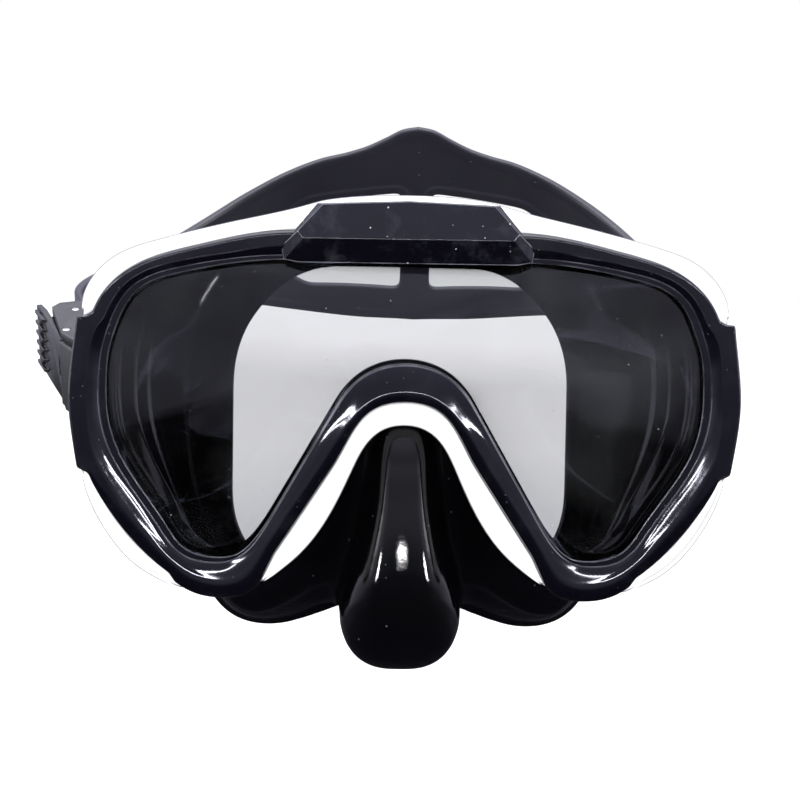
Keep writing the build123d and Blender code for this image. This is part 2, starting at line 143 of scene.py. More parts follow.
def resample(loop, count):
    """Points evenly spaced round a closed loop, clockwise from its top middle."""
    area = (loop[:, 0] * np.roll(loop[:, 1], -1) - np.roll(loop[:, 0], -1) * loop[:, 1]).sum()
    if area > 0:
        loop = loop[::-1]
    ring = np.vstack([loop, loop[:1]])
    along = np.concatenate([[0], np.cumsum(np.linalg.norm(np.diff(ring, axis=0), axis=1))])
    fine = np.linspace(0, along[-1], 4001)[:-1]
    dense = np.stack([np.interp(fine, along, ring[:, i]) for i in (0, 1)], 1)
    upper = dense[:, 1] > dense[:, 1].mean()
    start = np.argmin(np.abs(dense[:, 0]) + 1000 * ~upper)
    dense = np.roll(dense, -start, 0)
    ring = np.vstack([dense, dense[:1]])
    stops = np.linspace(0, len(dense), count, endpoint=False)
    return np.stack([np.interp(stops, np.arange(len(ring)), ring[:, i]) for i in (0, 1)], 1)


def eased(values, loop, reach):
    """Numbers given at each point of a closed loop, smoothed over about this many millimetres."""
    spread = np.fft.fftfreq(len(values), d=closed_length(loop) / len(loop))
    keep = np.exp(-2 * (pi * spread * reach) ** 2)
    return np.real(np.fft.ifft(np.fft.fft(values) * keep))


def softened(loop, reach):
    """A closed loop with its corners and facets rounded over about this many millimetres."""
    return np.stack([eased(loop[:, i], loop, reach) for i in (0, 1)], 1)


def outward(loop):
    """Unit vectors square to a clockwise closed loop, pointing out."""
    way = np.roll(loop, -1, 0) - np.roll(loop, 1, 0)
    way /= np.linalg.norm(way, axis=1, keepdims=True)
    return np.stack([-way[:, 1], way[:, 0]], 1)


def matched(loop, other):
    """For each point of loop, the point of other that faces it; the match slides smoothly along."""
    gap = np.linalg.norm(loop[:, None] - other[None], axis=2)
    place = gap.argmin(1) / len(other)
    turns = np.unwrap(place * 2 * pi) / (2 * pi)
    even = np.arange(len(loop)) / len(loop)
    stops = (even + eased(turns - even, loop, 3.0)) % 1 * len(other)
    ring = np.vstack([other, other[:1]])
    return np.stack([np.interp(stops, np.arange(len(ring)), ring[:, i]) for i in (0, 1)], 1)


station_count = 900
bezel_outer = softened(resample(flat_loops("bezel", 0.0)[0], station_count), 0.35)
glass_outline = softened(resample(flat_loops("bezel", 0.8)[1], station_count), 0.6)
frame_outer = softened(resample(flat_loops("rear_frame", frame_back_depth)[0], station_count), 0.6)
skirt_outline = softened(resample(flat_loops("skirt", skirt_depth)[0], 600), 2.0)
face_outline = softened(resample(flat_loops("skirt", skirt_depth)[1], 500), 2.0)


# ---- mesh tools ---------------------------------------------------------------------------
def placed(name, data):
    """Smooth-shaded object for finished mesh data."""
    data.polygons.foreach_set("use_smooth", [True] * len(data.polygons))
    piece = bpy.data.objects.new(name, data)
    bpy.context.scene.collection.objects.link(piece)
    return piece


def new_object(name, points, faces):
    """Mesh object from places in metres and faces."""
    data = bpy.data.meshes.new(name)
    data.from_pydata([tuple(p) for p in points], [], [tuple(f) for f in faces])
    data.update()
    return placed(name, data)


def object_of(mesh, name):
    """Mesh object from a finished bmesh."""
    data = bpy.data.meshes.new(name)
    mesh.to_mesh(data)
    mesh.free()
    return placed(name, data)


def level_ring(spots, depth):
    """A ring of (x, height) points at one depth, or each at its own depth."""
    return np.stack([spots[:, 0], np.broadcast_to(depth, len(spots)), spots[:, 1]], 1)


def swept_ring(name, rings):
    """Closed tube whose cross-section points are whole rings of (x, depth, height) places."""
    rings = np.array(rings)
    sections, stations = rings.shape[:2]
    faces = []
    for section in range(sections):
        here, there = section * stations, (section + 1) % sections * stations
        for station in range(stations):
            after = (station + 1) % stations
            faces.append((here + station, here + after, there + after, there + station))
    piece = new_object(name, world(rings.reshape(-1, 3)), faces)
    face_outwards(piece)
    return piece


def face_outwards(piece):
    """Turns every face of a piece outwards."""
    mesh = bmesh.new()
    mesh.from_mesh(piece.data)
    bmesh.ops.recalc_face_normals(mesh, faces=mesh.faces)
    mesh.to_mesh(piece.data)
    mesh.free()


def flat_normals(piece):
    """Large faces keep their own direction, so that only the narrow strips turn."""
    weighted = piece.modifiers.new("flat_normals", "WEIGHTED_NORMAL")
    weighted.mode = "FACE_AREA"
    weighted.weight = 80
    weighted.keep_sharp = True


def break_edges(piece, width, segments, angle):
    """Rounds every edge that turns more than the angle, in degrees, over a small width."""
    edges = piece.modifiers.new("broken_edges", "BEVEL")
    edges.width = width * MM
    edges.segments = segments
    edges.limit_method = "ANGLE"
    edges.angle_limit = radians(angle)
    edges.harden_normals = True


def crossings(values, axes, axis):
    """Where the field passes zero along one axis of its grid: a mask, and the places."""
    here = [slice(None)] * 3
    there = [slice(None)] * 3
    here[axis], there[axis] = slice(None, -1), slice(1, None)
    first, second = values[tuple(here)], values[tuple(there)]
    cut = (first < 0) != (second < 0)
    share = np.where(cut, first / np.where(cut, first - second, 1), 0)
    places = []
    for i in range(3):
        shape = [1, 1, 1]
        shape[i] = -1
        line = axes[i][:-1] if i == axis else axes[i]
        place = np.broadcast_to(line.reshape(shape), first.shape)
        if i == axis:
            place = place + share * (axes[i][1] - axes[i][0])
        places.append(place)
    return cut, places


def surface_of(field, low, high, step):
    """Closed mesh of the surface where field(x, y, z) is zero, as places and four-sided faces."""
    axes = [np.arange(lo, hi + st, st) for lo, hi, st in zip(low, high, step)]
    grid = np.ix_(*axes)
    values = np.ascontiguousarray(np.broadcast_to(field(*grid), [len(a) for a in axes]))
    cells = [len(a) - 1 for a in axes]
    total = np.zeros((*cells, 3), np.float32)
    uses = np.zeros(cells, np.int16)
    cuts = []
    for axis in range(3):
        cut, places = crossings(values, axes, axis)
        cuts.append(cut)
        others = [i for i in range(3) if i != axis]
        for first in (0, 1):
            for second in (0, 1):
                part = [slice(None)] * 3
                for other, shift in zip(others, (first, second)):
                    part[other] = slice(shift, shift + cells[other])
                part = tuple(part)
                uses += cut[part]
                for i in range(3):
                    total[..., i] += np.where(cut[part], places[i][part], 0)
    used = uses > 0
    points = total[used] / uses[used][:, None]
    number = np.full(cells, -1, int)
    number[used] = np.arange(len(points))
    faces = []
    for axis in range(3):
        others = [i for i in range(3) if i != axis]
        spot = np.argwhere(cuts[axis])
        inner = np.all([(spot[:, o] > 0) & (spot[:, o] < cells[o]) for o in others], 0)
        spot = spot[inner]
        corner = []
        for first, second in ((1, 1), (0, 1), (0, 0), (1, 0)):
            place = spot.copy()
            place[:, others[0]] -= first
            place[:, others[1]] -= second
            corner.append(number[tuple(place.T)])
        quad = np.stack(corner, 1)
        rising = values[tuple(spot.T)] < 0
        if axis == 1:
            rising = ~rising
        quad[~rising] = quad[~rising][:, ::-1]
        faces.append(quad)
    return settled(points.astype(float), field), np.concatenate(faces)


def settled(points, field):
    """The points pulled onto the surface where the field is zero."""
    nudge, least_slope, longest_move = 0.05, 0.15, 0.4
    for _ in range(3):
        value = field(*points.T)
        slope = []
        for axis in range(3):
            shift = np.zeros(3)
            shift[axis] = nudge
            slope.append((field(*(points + shift).T) - field(*(points - shift).T)) / (2 * nudge))
        slope = np.stack(slope, 1)
        size = np.maximum((slope ** 2).sum(1), least_slope)
        move = slope * (value / size)[:, None]
        length = np.linalg.norm(move, axis=1, keepdims=True)
        points = points - move * np.minimum(1, longest_move / np.maximum(length, 1e-9))
    return points


def joined_max(first, second, reach):
    """The larger of two fields, with the edge where they meet rounded over reach."""
    blend = np.maximum(reach - np.abs(first - second), 0) / reach
    return np.maximum(first, second) + blend * blend * reach / 4


def joined_min(first, second, reach):
    """The smaller of two fields, rounded in the same way."""
    return -joined_max(-first, -second, reach)


def hermite(share, start, end, start_slope, end_slope):
    """Cubic from start to end with the given slopes, read at a share of the way."""
    rest = 1 - share
    return ((1 + 2 * share) * rest ** 2 * start + share * rest ** 2 * start_slope
            + share ** 2 * (3 - 2 * share) * end - share ** 2 * rest * end_slope)


def smooth_step(value, start, end):
    """Nought before start, one after end, and smooth between."""
    share = np.clip((value - start) / (end - start), 0, 1)
    return share * share * (3 - 2 * share)


def swell(value, middle, reach):
    """One at the middle, falling smoothly to nought beyond the reach."""
    return np.exp(-(((value - middle) / reach) ** 2))


class Distance:
    """Signed distance to a closed outline, negative inside, read off a grid with smooth cubics."""

    def __init__(self, outline, cell=1.0, margin=14.0):
        self.cell = cell
        self.low = outline.min(0) - margin
        count = np.ceil((outline.max(0) + margin - self.low) / cell).astype(int) + 1
        x, z = [self.low[i] + cell * np.arange(count[i]) for i in (0, 1)]
        spots = np.stack(np.meshgrid(x, z, indexing="ij"), -1).reshape(-1, 2)
        nearest = np.full(len(spots), 1e9)
        crossed = np.zeros(len(spots), bool)
        for start, end in zip(outline, np.roll(outline, -1, 0)):
            side = end - start
            share = np.clip(((spots - start) @ side) / max(side @ side, 1e-12), 0, 1)
            gap = spots - start - share[:, None] * side
            nearest = np.minimum(nearest, (gap ** 2).sum(1))
            over = (start[1] > spots[:, 1]) != (end[1] > spots[:, 1])
            if start[1] != end[1]:
                hit = start[0] + (spots[:, 1] - start[1]) * side[0] / side[1]
                crossed ^= over & (spots[:, 0] < hit)
        self.grid = (np.sqrt(nearest) * np.where(crossed, -1, 1)).reshape(count)

    def __call__(self, x, z):
        shape = np.broadcast_shapes(np.shape(x), np.shape(z))
        parts = []
        for value, low, size in zip((x, z), self.low, self.grid.shape):
            place = np.clip((value - low) / self.cell, 1, size - 2.001)
            base = np.floor(place).astype(int)
            t = place - base
            weights = ((-t + 2 * t**2 - t**3) / 2, (2 - 5 * t**2 + 3 * t**3) / 2,
                       (t + 4 * t**2 - 3 * t**3) / 2, (-t**2 + t**3) / 2)
            parts.append((base, weights))
        (bx, wx), (bz, wz) = parts
        result = np.zeros(shape)
        for i in range(4):
            for j in range(4):
                result = result + wx[i] * wz[j] * self.grid[bx + i - 1, bz + j - 1]
        return result


def regional(points, regions):
    """A value for each point, blended from regions (x, height, value) that count on both sides."""
    softness, falloff = 4, 2.5
    weight_sum = np.zeros(len(points))
    result = np.zeros(len(points))
    for x, height, value in regions:
        for side in (LEFT, RIGHT):
            gap = ((points - [side * x, height]) ** 2).sum(1)
            weight = 1 / (gap + softness) ** falloff
            weight_sum += weight
            result += weight * value
    return result / weight_sum


# ---- materials ----------------------------------------------------------------------------
class Look:
    """Small helper that builds one node material round a Principled shader."""

    def __init__(self, name):
        self.material = bpy.data.materials.new(name)
        self.material.use_nodes = True
        self.nodes = self.material.node_tree.nodes
        self.links = self.material.node_tree.links
        self.shader = self.nodes["Principled BSDF"]
        self.place = self.nodes.new("ShaderNodeTexCoord").outputs["Object"]

    def noise(self, scale, detail=4.0, roughness=0.6, stretch=None):
        """Cloudy grain from nought to one, which stretch can draw out along an axis."""
        place = self.place
        if stretch:
            mapping = self.nodes.new("ShaderNodeMapping")
            mapping.inputs["Scale"].default_value = stretch
            self.links.new(place, mapping.inputs["Vector"])
            place = mapping.outputs["Vector"]
        node = self.nodes.new("ShaderNodeTexNoise")
        node.inputs["Scale"].default_value = scale
        node.inputs["Detail"].default_value = detail
        node.inputs["Roughness"].default_value = roughness
        self.links.new(place, node.inputs["Vector"])
        return node.outputs["Fac"]

    def specks(self, scale, size):
        """One where a small speck sits, nought elsewhere."""
        node = self.nodes.new("ShaderNodeTexVoronoi")
        node.inputs["Scale"].default_value = scale
        self.links.new(self.place, node.inputs["Vector"])
        near = self.math("LESS_THAN", node.outputs["Distance"], size)
        split = self.nodes.new("ShaderNodeSeparateColor")
        self.links.new(node.outputs["Color"], split.inputs["Color"])
        few = self.math("GREATER_THAN", split.outputs["Red"], 0.6)
        return self.math("MULTIPLY", near, few)

    def math(self, kind, first, second=0.0, third=0.0):
        """Result of one arithmetic step on sockets or numbers."""
        node = self.nodes.new("ShaderNodeMath")
        node.operation = kind
        for socket, value in zip(node.inputs, (first, second, third)):
            if isinstance(value, (int, float)):
                socket.default_value = value
            else:
                self.links.new(value, socket)
        return node.outputs["Value"]

    def ranged(self, value, low, high, start=0.35, end=0.65):
        """A value that runs from start to end, made to run from low to high."""
        node = self.nodes.new("ShaderNodeMapRange")
        self.links.new(value, node.inputs["Value"])
        for name, number in (("From Min", start), ("From Max", end), ("To Min", low), ("To Max", high)):
            node.inputs[name].default_value = number
        return node.outputs["Result"]

    def mixed(self, share, first, second):
        """Two colours, sockets or plain ones, mixed by share."""
        node = self.nodes.new("ShaderNodeMix")
        node.data_type = "RGBA"
        colours = [s for s in node.inputs if s.type == "RGBA"]
        factor = [s for s in node.inputs if s.type == "VALUE"][0]
        self.links.new(share, factor)
        for socket, value in zip(colours, (first, second)):
            if isinstance(value, tuple):
                socket.default_value = (*value, 1)
            else:
                self.links.new(value, socket)
        return [s for s in node.outputs if s.type == "RGBA"][0]

    def edges(self, reach, start=0.004, end=0.06):
        """One along sharp edges, nought elsewhere."""
        rounded = self.nodes.new("ShaderNodeBevel")
        rounded.samples = 6
        rounded.inputs["Radius"].default_value = reach
        plain = self.nodes.new("ShaderNodeNewGeometry")
        dot = self.nodes.new("ShaderNodeVectorMath")
        dot.operation = "DOT_PRODUCT"
        self.links.new(rounded.outputs["Normal"], dot.inputs[0])
        self.links.new(plain.outputs["Normal"], dot.inputs[1])
        turned = self.math("SUBTRACT", 1.0, dot.outputs["Value"])
        return self.ranged(turned, 0.0, 1.0, start, end)

    def grazing(self, start, end):
        """Nought where the surface faces the eye, one at the rim."""
        node = self.nodes.new("ShaderNodeLayerWeight")
        node.inputs["Blend"].default_value = 0.5
        return self.ranged(node.outputs["Facing"], 0.0, 1.0, start, end)

    def set(self, **values):
        """Fills in the shader's sockets by name."""
        for name, value in values.items():
            socket = self.shader.inputs[name.replace("_", " ")]
            if isinstance(value, (int, float)):
                socket.default_value = value
            elif isinstance(value, tuple):
                socket.default_value = (*value, 1) if len(value) == 3 else value
            else:
                self.links.new(value, socket)
        return self

    def bump(self, height, strength, distance):
        """Fine relief that follows a height."""
        node = self.nodes.new("ShaderNodeBump")
        node.inputs["Strength"].default_value = strength
        node.inputs["Distance"].default_value = distance
        self.links.new(height, node.inputs["Height"])
        self.links.new(node.outputs["Normal"], self.shader.inputs["Normal"])
        return self


def black_shell_look(name, dust, haze, shine):
    """Glossy black plastic with a faint blue cast, fine scuffs, white dust, and a painted highlight that
    lightens its sharp edges in patches.
    """
    look = Look(name)
    cloud = look.noise(28, 5)
    fine = look.noise(900, 3)
    dusty = look.specks(420, 0.09)
    dirt = look.math("MULTIPLY", dusty, dust)
    tint = look.mixed(cloud, (0.0006, 0.0006, 0.001), (0.002, 0.0018, 0.0042))
    smudge = look.ranged(look.noise(75, 7, 0.7), 0.0, haze, 0.5, 0.72)
    hazy = look.mixed(smudge, tint, (0.12, 0.12, 0.15))
    colour = look.mixed(dirt, hazy, (0.4, 0.4, 0.45))
    # painted highlight: the colour is lightened in patches along sharp edges to stand for bright edge lines
    highlight_patches = look.ranged(look.noise(140, 4), 0.2, 1.0)
    painted_edge_highlight = look.math("MULTIPLY", look.edges(0.0003, 0.003, 0.02), highlight_patches)
    colour = look.mixed(painted_edge_highlight, colour, (0.2, 0.2, 0.24))
    gloss = look.ranged(look.noise(60, 6), 0.04, 0.11)
    look.set(Base_Color=colour, Roughness=gloss, IOR=1.5, Specular_Tint=(0.86 * shine, 0.87 * shine, shine))
    look.set(Coat_Weight=0.25 * shine, Coat_Roughness=0.04)
    waves = look.math("MULTIPLY", look.noise(45, 2), 2.0)
    look.bump(look.math("ADD", fine, waves), 0.07, 0.0001)
    return look.material


def white_shell_look():
    """Glossy white plastic with very slight mottling, a polished surface, and painted shade that greys it
    towards the rim.
    """
    look = Look("white_gloss_plastic")
    cloud = look.noise(35, 5)
    colour = look.mixed(cloud, (0.86, 0.87, 0.88), (0.93, 0.93, 0.94))
    # painted shade: the colour greys where the surface turns away from the eye, standing for the darker rim
    rim = look.math("MULTIPLY", look.grazing(0.3, 0.7), 0.9)
    colour = look.mixed(rim, colour, (0.12, 0.12, 0.13))
    look.set(Base_Color=colour, Roughness=look.ranged(look.noise(80, 5), 0.16, 0.3), IOR=1.48)
    look.set(Coat_Weight=0.8, Coat_Roughness=0.05, Coat_IOR=1.55)
    look.bump(look.noise(500, 3), 0.06, 0.0001)
    return look.material


def silicone_look(name, sheen, low_gloss, high_gloss, tint):
    """Black silicone: satin, slightly grainy, with dust that clings to it."""
    look = Look(name)
    cloud = look.noise(22, 6)
    dusty = look.math("MULTIPLY", look.specks(300, 0.07), 0.25)
    base = look.mixed(cloud, tint, tuple(2.2 * part for part in tint))
    colour = look.mixed(dusty, base, (0.35, 0.35, 0.38))
    look.set(Base_Color=colour, Roughness=look.ranged(look.noise(40, 6), low_gloss, high_gloss))
    look.set(IOR=1.42, Sheen_Weight=sheen, Sheen_Roughness=0.45, Sheen_Tint=(0.75, 0.75, 1.0))
    waves = look.math("MULTIPLY", look.noise(90, 3), 1.5)
    look.bump(look.math("ADD", look.noise(1400, 2), waves), 0.13, 0.00012)
    return look.material


def buckle_look(name, shade, low_gloss, high_gloss):
    """Hard moulded plastic with a fine spark-eroded grain and rubbed spots."""
    look = Look(name)
    cloud = look.noise(70, 5)
    colour = look.mixed(cloud, tuple(0.7 * part for part in shade), tuple(1.3 * part for part in shade))
    look.set(Base_Color=colour, Roughness=look.ranged(look.noise(120, 5), low_gloss, high_gloss), IOR=1.5)
    look.bump(look.noise(1800, 3), 0.25, 0.00008)
    return look.material


def steel_look():
    """Turned stainless steel with fine rings of tool marks and slight tarnish."""
    look = Look("stainless_steel")
    cloud = look.noise(150, 5)
    colour = look.mixed(cloud, (0.42, 0.42, 0.44), (0.62, 0.62, 0.63))
    look.set(Base_Color=colour, Metallic=1.0, Roughness=look.ranged(look.noise(300, 4), 0.2, 0.38))
    look.bump(look.noise(2200, 2, stretch=(1, 1, 6)), 0.2, 0.00005)
    return look.material


def glass_look():
    """Clear tempered glass: mostly see-through, with painted shade that dims the view through it towards the
    bottom, and an uneven film that catches a little light.
    """
    look = Look("tempered_glass")
    clear = look.nodes.new("ShaderNodeBsdfTransparent")
    # painted shade: what shows through the glass is dimmed towards the bottom, in soft steps, by height
    split = look.nodes.new("ShaderNodeSeparateXYZ")
    look.links.new(look.place, split.inputs["Vector"])
    shade_height = look.math("MULTIPLY_ADD", look.noise(9, 3), 0.02, split.outputs["Z"])
    height = look.ranged(shade_height, 0.0, 1.0, -0.035, 0.045)
    shade = look.nodes.new("ShaderNodeValToRGB")
    ramp = shade.color_ramp
    ramp.elements[0].color = (0.52, 0.53, 0.55, 1)
    ramp.elements[1].color = (0.84, 0.85, 0.86, 1)
    for place, tone in ((0.45, 0.69), (0.66, 0.7), (0.78, 0.8)):
        ramp.elements.new(place).color = (tone, tone, tone + 0.01, 1)
    look.links.new(height, shade.inputs["Fac"])
    look.links.new(shade.outputs["Color"], clear.inputs["Color"])
    mirror = look.nodes.new("ShaderNodeBsdfGlossy")
    mirror.inputs["Color"].default_value = (0.95, 0.96, 1.0, 1)
    look.links.new(look.ranged(look.noise(30, 6), 0.02, 0.06), mirror.inputs["Roughness"])
    haze = look.nodes.new("ShaderNodeBsdfDiffuse")
    haze.inputs["Color"].default_value = (0.75, 0.78, 0.8, 1)
    fresnel = look.nodes.new("ShaderNodeFresnel")
    fresnel.inputs["IOR"].default_value = 1.45
    film = look.ranged(look.noise(26, 6, 0.65), 0.0, 0.018, 0.45, 0.75)
    dust = look.math("MULTIPLY", look.specks(260, 0.045), 0.35)
    coated = look.nodes.new("ShaderNodeMixShader")
    look.links.new(look.math("MAXIMUM", film, dust), coated.inputs["Fac"])
    look.links.new(clear.outputs["BSDF"], coated.inputs[1])
    look.links.new(haze.outputs["BSDF"], coated.inputs[2])
    whole = look.nodes.new("ShaderNodeMixShader")
    look.links.new(fresnel.outputs["Fac"], whole.inputs["Fac"])
    look.links.new(coated.outputs["Shader"], whole.inputs[1])
    look.links.new(mirror.outputs["BSDF"], whole.inputs[2])
    look.links.new(whole.outputs["Shader"], look.nodes["Material Output"].inputs["Surface"])
    return look.material


looks = {
    "black_shell": black_shell_look("black_gloss_plastic", 0.06, 0.03, 0.62),
    "dusty_shell": black_shell_look("black_gloss_dusty", 0.8, 0.14, 1.0),
    "white_shell": white_shell_look(),
    "tempered_glass": glass_look(),
    "black_silicone": silicone_look("skirt_silicone", 0.0, 0.07, 0.14, (0.0008, 0.0008, 0.0012)),
    "strap_silicone": silicone_look("strap_silicone", 0.12, 0.3, 0.46, (0.009, 0.0085, 0.0135)),
    "buckle_plastic": buckle_look("buckle_grey_plastic", (0.026, 0.026, 0.028), 0.26, 0.42),
    "buckle_gloss": buckle_look("buckle_black_gloss", (0.012, 0.012, 0.014), 0.12, 0.2),
    "steel": steel_look(),
}


def dress(piece, slot, look=None):
    """Gives a piece its material, looked up by slot or by the look given."""
    piece.data.materials.clear()
    piece.data.materials.append(looks[look or slot])


def stand_in(piece, node, slot, look=None):
    """Dresses a new piece that rides the mask in place of a CAD node."""
    dress(piece, slot, look)
    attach(piece, "mask")
    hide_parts(node)


# ---- bezel --------------------------------------------------------------------------------
# Widths across the front ring, round it from the brow to the arch over the nose: place of the outer
# edge, outer face, roll of the outer edge, inner lip, how deep the lip lies, and rounding of the crest.
bezel_regions = (
    ((0, 42.1), 3.7, 1.0, 1.3, 1.5, 0.4), ((20, 42.1), 3.7, 1.0, 1.3, 1.5, 0.4),
    ((40, 42.1), 3.7, 1.0, 1.3, 1.5, 0.4), ((60, 36), 3.9, 0.9, 1.5, 1.5, 0.4),
    ((80, 20), 4.4, 0.6, 2.0, 1.5, 0.4), ((84.8, 8), 4.7, 0.6, 2.1, 1.5, 0.4),
    ((84.8, -8), 4.7, 0.6, 2.1, 1.5, 0.5), ((82.6, -18), 4.4, 0.8, 2.0, 1.5, 1.0),
    ((73, -31.5), 4.0, 3.0, 2.0, 1.4, 1.8), ((59, -45), 4.3, 3.6, 1.8, 1.3, 2.2),
    ((46.4, -51.3), 4.4, 3.6, 1.5, 1.3, 2.2), ((36, -47), 4.1, 3.4, 0.9, 1.0, 1.6),
    ((27, -31), 3.2, 2.6, 0.45, 0.9, 1.0), ((18.5, -17.8), 3.0, 2.4, 0.45, 0.9, 1.0),
    ((0, -0.7), 2.2, 1.8, 0.6, 1.9, 0.8))
# the side tabs reach farther back than the rest of the ring, from tab_edge outwards
tab_edge, tab_half_height, tab_growth = (81.6, 82.6), 21, 2.5


def bezel():
    """Front ring: outer face that rolls over its edge, a crisp crest, a sloping band and a deep lip."""
    outer = bezel_outer
    inner = matched(outer, glass_outline)
    width = np.linalg.norm(outer - inner, axis=1)
    across = (outer - inner) / width[:, None]

    def measure(column):
        regions = [(*row[0], row[column]) for row in bezel_regions]
        return eased(regional(outer, regions), outer, 4.0)

    face, roll, lip, drop, crown = [measure(column) for column in (1, 2, 3, 4, 5)]
    crest = eased(width - face, outer, 5.0)
    crest = eased(np.maximum(np.minimum(crest, width - 1.6), lip + 1.4), outer, 1.0)
    crown = eased(np.minimum(crown, (crest - lip) * 0.7), outer, 1.0)
    roll = eased(np.minimum(roll, width - crest - crown / 2 - 0.2), outer, 1.0)
    beside_tab = np.abs(outer[:, 1]) < tab_half_height
    wall_back = bezel_back + tab_growth * smooth_step(np.abs(outer[:, 0]), *tab_edge) * beside_tab
    edge, belly = 0.35, 0.12
    step_across, step_depth = 0.12, 0.18
    rings = []

    def ring(offset, depth):
        spots = inner + across * np.broadcast_to(offset, width.shape)[:, None]
        rings.append(level_ring(spots, depth))

    ring(0.0, lens_front)
    ring(0.0, drop + edge + 0.2)
    for turn in np.linspace(0, pi / 2, 6):
        ring(edge * (1 - cos(turn)), drop + edge * (1 - sin(turn)))
    for share in (0.15, 0.5, 0.9, 1.0):
        ring(edge + (lip - edge) * share, drop)
    slope_start = lip + step_across
    ring(slope_start, drop - step_depth)
    climb = (drop - step_depth) / (crest - slope_start)
    slope_end = crest - crown / 2
    for share in (0.04, 0.2, 0.4, 0.6, 0.8, 1.0):
        offset = slope_start + (slope_end - slope_start) * share
        ring(offset, (crest - offset) * climb - belly * sin(pi * share) * (1 - 0.5 * share))
    for share in (0.15, 0.3, 0.45, 0.6, 0.8, 1.0):
        ring(slope_end + crown * share, climb * crown / 2 * (1 - share) ** 2)
    flat_end = np.maximum(width - roll, crest + crown / 2 + 0.05)
    ring(flat_end, 0.04)
    for turn in np.linspace(0, pi / 2, 13)[1:]:
        ring(flat_end + (width - flat_end) * sin(turn), 0.04 + 1.15 * (width - flat_end) * (1 - cos(turn)))
    ring(width, wall_back - 0.5)
    ring(width - 0.15, wall_back - 0.1)
    ring(width - 0.5, wall_back)
    ring(width - 2.3, wall_back)
    ring(width - 2.5, bezel_back)
    ring(np.minimum(3.2, width - 2.6), bezel_back)
    ring(np.minimum(3.1, width - 2.7), lens_front)
    piece = swept_ring("bezel_shell", rings)
    flat_normals(piece)
    stand_in(piece, "bezel", "black_shell")


def rear_frame():
    """White ring that slopes back from the bezel, with the plate that clamps the skirt behind it."""
    outer = frame_outer
    bezel_line = matched(outer, bezel_outer)
    glass_line = softened(glass_outline, 1.0)
    hole = matched(outer, glass_line + 1.7 * outward(glass_line))
    normal = outward(outer)
    width = ((outer - bezel_line) * normal).sum(1)
    shown = smooth_step(width, 0.15, 0.9)
    narrow = (width < 0.5)[:, None]
    inner = np.where(narrow, outer - normal * 0.4, bezel_line + 0.12 * outward(bezel_line))
    shown_front, plate_front = 4.0, 9.3
    front = plate_front + (shown_front - plate_front) * shown
    rim = shown_front + 4.6 * np.clip((width - 0.12) / 8, 0.25, 1)
    rim = plate_front + (rim - plate_front) * shown
    rings = []

    def ring(spots, depth):
        rings.append(level_ring(spots, depth))

    ring(inner, plate_front)
    ring(inner, front + 0.25)
    ring(inner + (outer - inner) * 0.03, front + 0.02)
    bend = np.minimum(1.2, np.linalg.norm(outer - inner, axis=1) * 0.3)
    for share in np.linspace(0.1, 0.9, 7):
        spot = inner + (outer - normal * bend[:, None] - inner) * share
        ring(spot, front + (rim - front) * share ** 1.5)
    for turn in np.linspace(0, pi / 2, 8):
        spot = outer - normal * (bend * (1 - sin(turn)))[:, None]
        ring(spot, rim + 1.4 * bend * (1 - cos(turn)))
    ring(outer, frame_back_depth - 0.4)
    ring(outer - normal * 0.12, frame_back_depth - 0.1)
    ring(outer - normal * 0.4, frame_back_depth)
    for share in (0.3, 0.6, 0.95):
        ring(outer + (hole - outer) * share, frame_back_depth)
    ring(hole, frame_back_depth - 0.3)
    ring(hole, plate_front)
    piece = swept_ring("rear_frame_shell", rings)
    flat_normals(piece)
    stand_in(piece, "rear_frame", "white_shell")
    for side in (LEFT, RIGHT):
        frame_lug(side)


def bridge_clip():
    """Faceted cap over the brow: a long upper face, a dark lower face and a small facet at each end."""
    tilt, back_depth = 0.2143, 3.9
    foot_x, foot_height = 27.5, 34.2

    def upper(x, height):
        return (x, -0.4 - (48.8 - height) * tilt, height)

    upper_corners = [upper(21.5, 48.8), upper(27.7, 42.0), upper(26.4, 40.2)]
    rim_corners = [(22.9, 0.7, 49.0), (31.8, 0.5, 38.2), (31.2, 0.3, 34.9)]
    back_corners = [(x, back_depth, height) for x, _, height in rim_corners + [(foot_x, 0, foot_height)]]
    mesh = bmesh.new()
    face = mesh.faces.new

    def vert(place):
        return mesh.verts.new(world([place])[0])

    def both(places):
        """Corners of the right half, and their mirror images on the left."""
        return [[vert((side * x, depth, height)) for x, depth, height in places] for side in (RIGHT, LEFT)]

    right_upper, left_upper = both(upper_corners)
    right_rim, left_rim = both(rim_corners + [(foot_x, -0.55, foot_height)])
    right_back, left_back = both(back_corners)
    top_middle = vert(upper(0, 49.7))
    rim_middle = vert((0, 0.7, 49.9))
    back_middle = vert((0, back_depth, 49.9))
    face([top_middle] + right_upper + left_upper[::-1])
    face([right_upper[2]] + right_rim[2:] + left_rim[:1:-1] + [left_upper[2]])
    for top, rim, back in ((right_upper, right_rim, right_back), (left_upper, left_rim, left_back)):
        face((top[0], top_middle, rim_middle, rim[0]))
        face((rim_middle, rim[0], back[0], back_middle))
        for k in (0, 1):
            face((top[k], rim[k], rim[k + 1], top[k + 1]))
        for k in (0, 1, 2):
            face((rim[k], rim[k + 1], back[k + 1], back[k]))
    face((right_rim[3], left_rim[3], left_back[3], right_back[3]))
    face([back_middle] + right_back + left_back[::-1])
    piece = object_of(mesh, "bridge_clip_cap")
    face_outwards(piece)
    break_edges(piece, 0.14, 2, 7)
    stand_in(piece, "bridge_clip", "black_shell", "dusty_shell")


